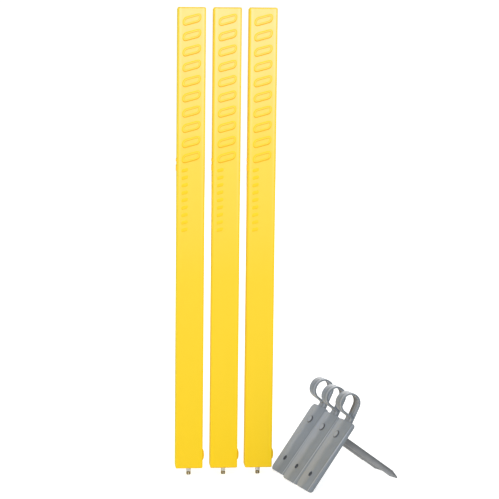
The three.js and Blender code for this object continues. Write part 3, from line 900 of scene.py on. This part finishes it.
def edge_lugs(look, body):
    """Two small lugs on the left edge and a swelling near the foot of the right edge."""
    front = body["face"] + look.lug_from_face
    back = front + look.lug_depth
    lugs = []
    sizes = ((look.first_lug, look.first_lug_height), (look.second_lug, look.second_lug_height))
    for from_top, height in sizes:
        top = body["top"] - from_top
        low = (body["left"] - look.lug_proud, front, top - height)
        lug = add_box("lug", low, (body["left"] + look.lug_embed, back, top))
        choose(lug, "EDGE", lambda edge: True)
        bevel(look.lug_round, segments=3)
        finish_edit()
        lugs.append(lug)
    clear_selection()
    middle = (body["right"], (front + back) / 2, body["foot"] + look.swell_foot + look.swell_height / 2)
    bpy.ops.mesh.primitive_cylinder_add(
        vertices=FINE, radius=0.5, depth=1, location=middle, rotation=(math.pi / 2, 0, 0)
    )
    swell = fresh("swell", (2 * look.swell_proud, look.swell_height, look.lug_depth))
    for side in (front, back):
        round_edges(swell, Y, side, look.lug_round, segments=3)
    finish_edit()
    return joined(lugs + [swell])


def moulded_half(look, body, name, outer, seam, top):
    """One closed half of the body, softly rounded, before it is hollowed."""
    low, high = min(outer, seam), max(outer, seam)
    half = add_box(name, (body["left"], low, body["foot"]), (body["right"], high, top))
    choose(half, "EDGE", lambda edge: runs_along(edge, Y))
    bevel(look.corner, segments=6)
    round_edges(half, Y, outer, look.edge, segments=4)
    round_edges(half, Y, seam, look.seam_edge, segments=2)
    finish_edit()
    return half


def hollowed(look, body, half, outer, seam, top):
    """Leaves an even wall, open towards the seam, with the pin's passage through the foot."""
    inward = math.copysign(1, seam - outer)
    faces = sorted((outer + inward * look.wall, seam + inward * OVERRUN))
    low = (body["left"] + look.wall, faces[0], body["foot"] + look.wall)
    space = add_box("space", low, (body["right"] - look.wall, faces[1], top - look.wall))
    combine(half, space, "DIFFERENCE")
    foot = body["foot"]
    passage = add_bar("passage", look.pin_radius + look.gap, foot - OVERRUN, foot + look.wall + OVERRUN)
    return polish(combine(half, passage, "DIFFERENCE"))


def front_shell(look):
    """The front half, with its pattern and lugs."""
    body = stump_body(look)
    half = moulded_half(look, body, "front", body["face"], body["front_seam"], body["top"])
    combine(half, edge_lugs(look, body), "UNION")
    combine(half, relief_pattern(look, body), "UNION")
    return hollowed(look, body, half, body["face"], body["front_seam"], body["top"])


def back_shell(look):
    """The plain back half, a little lower than the front."""
    body = stump_body(look)
    half = moulded_half(look, body, "back", body["back"], body["back_seam"], body["back_top"])
    return hollowed(look, body, half, body["back"], body["back_seam"], body["back_top"])


def pin_sleeve(look):
    """The steel sleeve round the pin."""
    low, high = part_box("stump_1_pin_collar")
    sleeve = add_bar("sleeve", look.pin_radius, low.z, high.z, sides=FINE)
    for end in (low.z, high.z):
        round_edges(sleeve, Z, end, look.sleeve_round, segments=3)
    finish_edit()
    bore = add_bar("bore", look.sleeve_bore, low.z - OVERRUN, high.z + OVERRUN)
    return polish(combine(sleeve, bore, "DIFFERENCE"))


def split_tip(look):
    """The sprung tip that grips in the plate's hole, with its shank and slot."""
    low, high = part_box("stump_1_pin_tip")
    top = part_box("stump_1_pin_collar")[0].z - look.gap
    tip = add_bar("tip", look.tip_radius, low.z, top, sides=FINE)
    round_edges(tip, Z, low.z, look.tip_round, segments=5)
    round_edges(tip, Z, top, look.tip_shoulder, segments=3)
    choose(tip, "FACE", lambda side: on_top(side, top))
    bpy.ops.mesh.inset(thickness=look.tip_radius - look.tip_shoulder - look.shank)
    extrude(z=high.z - top)
    finish_edit()
    half = look.slot_width / 2
    reach = look.tip_radius + OVERRUN
    slot = add_box("slot", (-half, -reach, low.z - OVERRUN), (half, reach, low.z + look.slot_height))
    return polish(combine(tip, slot, "DIFFERENCE"))


# Ground bases


def hole_cutter(look, radius, up):
    """A round cutter that opens out at the front of the plate, so that the hole gets a rounded rim."""
    flare = look.hole_flare
    cutter = add_bar("cutter", radius, -look.flange - OVERRUN, -flare, up, sides=FINE)
    width = radius
    choose(cutter, "FACE", lambda side: side.normal.z > FACING)
    for out, rise in ((flare / 8, flare / 2), (flare, flare / 2), (flare + OVERRUN, OVERRUN)):
        extrude(z=rise)
        factor = (radius + out) / width
        width = radius + out
        bpy.ops.transform.resize(value=(factor, factor, 1), center_override=(0, up, 0))
    finish_edit()
    return cutter


def flange_scrap(look, end, inward):
    """What is cut off the flange at one end of the plate to round its corner."""
    round_by = look.flange_corner
    level = -look.flange + round_by
    far = look.half_width + OVERRUN
    sides = sorted((end - inward * OVERRUN, end + inward * round_by))
    scrap = add_box("scrap", (0, sides[0], -look.flange - OVERRUN), (far, sides[1], level))
    clear_selection()
    bpy.ops.mesh.primitive_cylinder_add(
        vertices=FINE, radius=round_by, depth=4 * far, location=(0, end + inward * round_by, level),
        rotation=(0, math.pi / 2, 0),
    )
    return combine(scrap, fresh("round"), "DIFFERENCE")


def plate(look):
    """The folded plate: a low ridge, a flange behind one side, rounded corners and two holes."""
    middle = look.sheet / 2
    left = -look.half_width
    fold = look.half_width - middle
    piece = add_sheet("plate", (left, 0, -middle), (0, look.plate_length, -middle))
    choose(piece, "VERT", lambda vertex: near(vertex.co.x, left))
    move(z=-look.rise)
    choose(piece, "EDGE", lambda edge: on_plane(edge, X, 0))
    extrude(x=fold, z=-look.rise)
    extrude(z=look.rise + middle - look.flange)
    for end, taper in ((0, look.taper), (look.plate_length, -look.taper)):
        choose(piece, "VERT", lambda vertex: near(vertex.co.x, left) and near(vertex.co.y, end))
        move(y=taper)
    slope = math.atan2(look.rise, look.half_width)
    round_edges(piece, X, 0, look.ridge_round * math.tan(slope), segments=8)
    choose(piece, "EDGE", lambda edge: on_plane(edge, X, fold) and on_plane(edge, Z, -middle - look.rise))
    bevel(look.fold_round * math.tan((math.pi / 2 - slope) / 2), segments=6)
    choose(piece, "VERT", lambda vertex: near(vertex.co.x, left))
    bevel(look.corner, segments=8, affect="VERTICES")
    finish_edit()
    outward(piece)
    thicken(piece, look.sheet)
    for end, inward in ((0, 1), (look.plate_length, -1)):
        combine(piece, flange_scrap(look, end, inward), "DIFFERENCE")
    ease(piece, look.sheared)
    depth = -look.sheet - look.plunge
    rim = add_bar("rim", look.pin_hole + look.plunge_wall, depth, -middle, look.pin_hole_up, sides=FINE)
    round_edges(rim, Z, depth, look.sheared, segments=3)
    finish_edit()
    combine(piece, rim, "UNION")
    for radius, up in ((look.pin_hole, look.pin_hole_up), (look.tenon + look.gap, look.spike_up)):
        combine(piece, hole_cutter(look, radius, up), "DIFFERENCE")
    return polish(piece)


def bent_route(look):
    """The loop's route, along and out of the plate: its corners and the bend radius at each inner one."""
    front, back, _ = strip_layers(look)
    tail = look.spike_up - look.tail
    near_side = look.plate_length + look.ring_near
    far_side = near_side + 2 * look.ring
    corners = (
        (tail, back),
        (look.plate_length, back),
        (far_side, back + look.lean),
        (far_side, look.ring_front),
        (near_side, look.ring_front),
        (near_side - look.neck_drop, front),
        (tail, front),
    )
    bend = look.ring * look.ring_corner_share
    return [Vector((0, y, z)) for y, z in corners], (look.lean_round, bend, bend, bend, look.neck_round)


def pull_loop(look):
    """One strip, bent into a ring in front of the plate, with both ends clamped behind it."""
    corners, radii = bent_route(look)
    half = look.strip_width / 2
    start = corners[0]
    width = add_sheet("loop", (-half, start.y - look.strip, start.z), (half, start.y, start.z))
    choose(width, "EDGE", lambda edge: on_plane(edge, Y, start.y))
    at = start
    for corner, after, radius in zip(corners[1:], corners[2:], radii):
        into = (corner - at).normalized()
        out = (after - corner).normalized()
        angle = math.atan2(into.cross(out).x, into.dot(out))
        reach = radius * math.tan(abs(angle) / 2)
        bend_start = corner - into * reach
        extrude(*(bend_start - at))
        across = Vector((math.copysign(1, angle), 0, 0)).cross(into)
        steps = max(3, round(abs(angle) / BEND_STEP))
        bpy.ops.mesh.spin(steps=steps, angle=-angle, center=bend_start + across * radius, axis=(1, 0, 0))
        at = corner + out * reach
    extrude(*(corners[-1] - at))
    starter = start - Vector((0, look.strip / 2, 0))
    choose(width, "FACE", lambda side: near((side.calc_center_median() - starter).length, 0))
    bpy.ops.mesh.delete(type="FACE")
    finish_edit()
    outward(width)
    ends = [vertex.co for vertex in width.data.vertices if near(vertex.co.y, corners[-1].y)]
    if not any(near(end.z, corners[-1].z) for end in ends):
        raise RuntimeError("the loop's strip ends in the wrong place")
    ease(thicken(width, look.strip), look.strip_edge)
    hole = add_bar("hole", look.tenon + look.gap, strip_layers(look)[2], 0, look.spike_up)
    return polish(combine(width, hole, "DIFFERENCE"))


def spike(look):
    """A round bar with a forged four-sided point, a tenon through strip and plate, and a peened head."""
    up = look.spike_up
    tip = -look.spike_reach
    shoulder = strip_layers(look)[2]
    shaft = add_bar("shaft", look.spike_radius, tip, shoulder, up, sides=FINE)
    round_edges(shaft, Z, shoulder, look.spike_edge, segments=3)
    finish_edit()
    clear_selection()
    growth = (look.spike_radius - look.blunt) / look.point
    depth = shoulder - tip
    bpy.ops.mesh.primitive_cone_add(
        vertices=4, radius1=look.blunt, radius2=look.blunt + growth * depth, depth=depth,
        location=(0, up, (tip + shoulder) / 2),
    )
    wedge = fresh("wedge")
    choose(wedge, "EDGE", lambda edge: not on_plane(edge, Z, shoulder))
    bevel(look.spike_edge, segments=2)
    finish_edit()
    combine(shaft, wedge, "INTERSECT")
    tenon = add_bar("tenon", look.tenon, shoulder - look.gap, look.gap, up)
    top = look.gap + look.head_rise
    head = add_bar("head", look.head, -look.head_seat, top, up, sides=FINE)
    round_edges(head, Z, top, look.head_round, segments=4)
    choose(head, "FACE", lambda side: on_top(side, top))
    for share in HEAD_DISH_SHARES:
        bpy.ops.mesh.inset(thickness=look.head_round, depth=share * look.head_seat)
    finish_edit()
    combine(shaft, tenon, "UNION")
    return polish(combine(shaft, head, "UNION"), angle=24)


# Operators


def dress_bases(look, make, node, coat):
    """Models one piece of a base and puts it in its place on all three."""
    model = make(look)
    spread(model, node, base_places(look, model, node), "base_{}", coat(look))
    return {"FINISHED"}


class STUMPS_OT_shells(bpy.types.Operator):
    """Model both plastic shells of each stump"""

    bl_idname = "stumps.shells"
    bl_label = "Shells"

    def execute(self, context):
        look = context.scene.stump_settings
        plastic = yellow_plastic(look)
        for make, name in ((front_shell, "stump_{}_front_shell"), (back_shell, "stump_{}_back_shell")):
            spread(make(look), name, stump_places(), "stump_{}", plastic)
        return {"FINISHED"}


class STUMPS_OT_pins(bpy.types.Operator):
    """Model each stump's pin and finish the plug that holds it"""

    bl_idname = "stumps.pins"
    bl_label = "Pins"

    def execute(self, context):
        look = context.scene.stump_settings
        places = stump_places()
        sleeve, tip = pin_sleeve(look), split_tip(look)
        spread(sleeve, "stump_{}_pin_collar", places, "stump_{}", turned_steel(look))
        spread(tip, "stump_{}_pin_tip", places, "stump_{}", dull_brass(look))
        plain = plain_plastic(look)
        for index in COPIES:
            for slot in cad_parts[f"stump_{index}_foot_plug"].material_slots:
                slot.material = plain
        return {"FINISHED"}


class STUMPS_OT_plates(bpy.types.Operator):
    """Model the folded plate of each ground base"""

    bl_idname = "stumps.plates"
    bl_label = "Plates"

    def execute(self, context):
        return dress_bases(context.scene.base_settings, plate, "base_{}_plate", zinc_sheet)


class STUMPS_OT_loops(bpy.types.Operator):
    """Model the finger loop of each ground base"""

    bl_idname = "stumps.loops"
    bl_label = "Finger loops"

    def execute(self, context):
        return dress_bases(context.scene.base_settings, pull_loop, "base_{}_pull_loop", zinc_strip)


class STUMPS_OT_spikes(bpy.types.Operator):
    """Model the spike of each ground base"""

    bl_idname = "stumps.spikes"
    bl_label = "Spikes"

    def execute(self, context):
        return dress_bases(context.scene.base_settings, spike, "base_{}_spike", zinc_bar)


def add_lamp(name, place, target, size, power):
    """A square soft lamp that points at a place."""
    clear_selection()
    place, target = Vector(place), Vector(target)
    bpy.ops.object.light_add(type="AREA", location=place)
    lamp = bpy.context.object
    lamp.name = name
    lamp.rotation_euler = (target - place).to_track_quat("-Z", "Y").to_euler()
    lamp.data.size = size
    lamp.data.energy = power


class STUMPS_OT_stage(bpy.types.Operator):
    """Set up the floor, the sky, the lamps and the camera"""

    bl_idname = "stumps.stage"
    bl_label = "Studio"

    def execute(self, context):
        look = context.scene.stage_settings
        side = look.floor_size / 2
        floor = add_sheet("floor", (-side, -side, 0), (side, side, 0))
        floor.data.materials.append(white_paper(look))
        self.sky(context.scene, look)
        centre = (CAD_LOW + CAD_HIGH) / 2
        for name, (place, size, power) in LAMPS.items():
            add_lamp(name, place, centre, size, power)
        self.camera(context.scene, look)
        context.scene.view_settings.view_transform = "Standard"
        return {"FINISHED"}

    def sky(self, scene, look):
        """A white sky for what the camera and the metal see, dimmer where it lights the pieces."""
        scene.world = bpy.data.worlds.new("Studio sky")
        scene.world.use_nodes = True
        nodes = Nodes(scene.world.node_tree)
        level = nodes.span(nodes.white_rays(), 0.0, 1.0, look.ambient, look.backdrop)
        background = nodes.feed(nodes.add("Background"), (1, 1, 1), level)
        nodes.feed(nodes.add("OutputWorld"), background.outputs[0])

    def camera(self, scene, look):
        """The camera of the photograph, set by its place relative to the middle stump."""
        clear_selection()
        bpy.ops.object.camera_add()
        camera = bpy.context.object
        ahead = Vector((-math.sin(look.azimuth), math.cos(look.azimuth), 0))
        beside = Vector((math.cos(look.azimuth), math.sin(look.azimuth), 0))
        level_up = Vector((0, 0, 1))
        forward = ahead * math.cos(look.tilt) - level_up * math.sin(look.tilt)
        upward = ahead * math.sin(look.tilt) + level_up * math.cos(look.tilt)
        right = beside * math.cos(look.roll) + upward * math.sin(look.roll)
        up = upward * math.cos(look.roll) - beside * math.sin(look.roll)
        pin = stump_places()[1].translation
        place = pin + Vector((look.aside, 0, look.height)) - ahead * look.distance
        axes = Matrix((right, up, -forward)).transposed()
        camera.matrix_world = Matrix.Translation(place) @ axes.to_4x4()
        camera.data.lens = look.focal_share * camera.data.sensor_width
        camera.data.clip_end = look.floor_size
        scene.camera = camera


class STUMPS_PT_panel(bpy.types.Panel):
    """Lists the pieces in the sidebar"""

    bl_idname = "STUMPS_PT_panel"
    bl_label = "Cricket Stump Set"
    bl_space_type = "VIEW_3D"
    bl_region_type = "UI"
    bl_category = "Stumps"

    def draw(self, context):
        scene = context.scene
        groups = (
            ("Stumps", scene.stump_settings, (STUMPS_OT_shells, STUMPS_OT_pins)),
            ("Ground bases", scene.base_settings, (STUMPS_OT_plates, STUMPS_OT_loops, STUMPS_OT_spikes)),
            ("Studio", scene.stage_settings, (STUMPS_OT_stage,)),
        )
        for title, settings, operators in groups:
            box = self.layout.box()
            box.label(text=title)
            for name in settings.bl_rna.properties.keys():
                if name not in ("rna_type", "name"):
                    box.prop(settings, name)
            for operator in operators:
                box.operator(operator.bl_idname)


CLASSES = (
    StumpSettings, BaseSettings, StageSettings, STUMPS_OT_shells, STUMPS_OT_pins, STUMPS_OT_plates,
    STUMPS_OT_loops, STUMPS_OT_spikes, STUMPS_OT_stage, STUMPS_PT_panel,
)


def register():
    for kind in CLASSES:
        bpy.utils.register_class(kind)
    bpy.types.Scene.stump_settings = PointerProperty(type=StumpSettings)
    bpy.types.Scene.base_settings = PointerProperty(type=BaseSettings)
    bpy.types.Scene.stage_settings = PointerProperty(type=StageSettings)


def unregister():
    del bpy.types.Scene.stage_settings
    del bpy.types.Scene.base_settings
    del bpy.types.Scene.stump_settings
    for kind in reversed(CLASSES):
        bpy.utils.unregister_class(kind)


def main():
    """Builds the whole set and the studio."""
    register()
    bpy.ops.stumps.stage()
    bpy.ops.stumps.shells()
    bpy.ops.stumps.pins()
    bpy.ops.stumps.plates()
    bpy.ops.stumps.loops()
    bpy.ops.stumps.spikes()
    clear_selection()


if __name__ == "__main__":
    main()
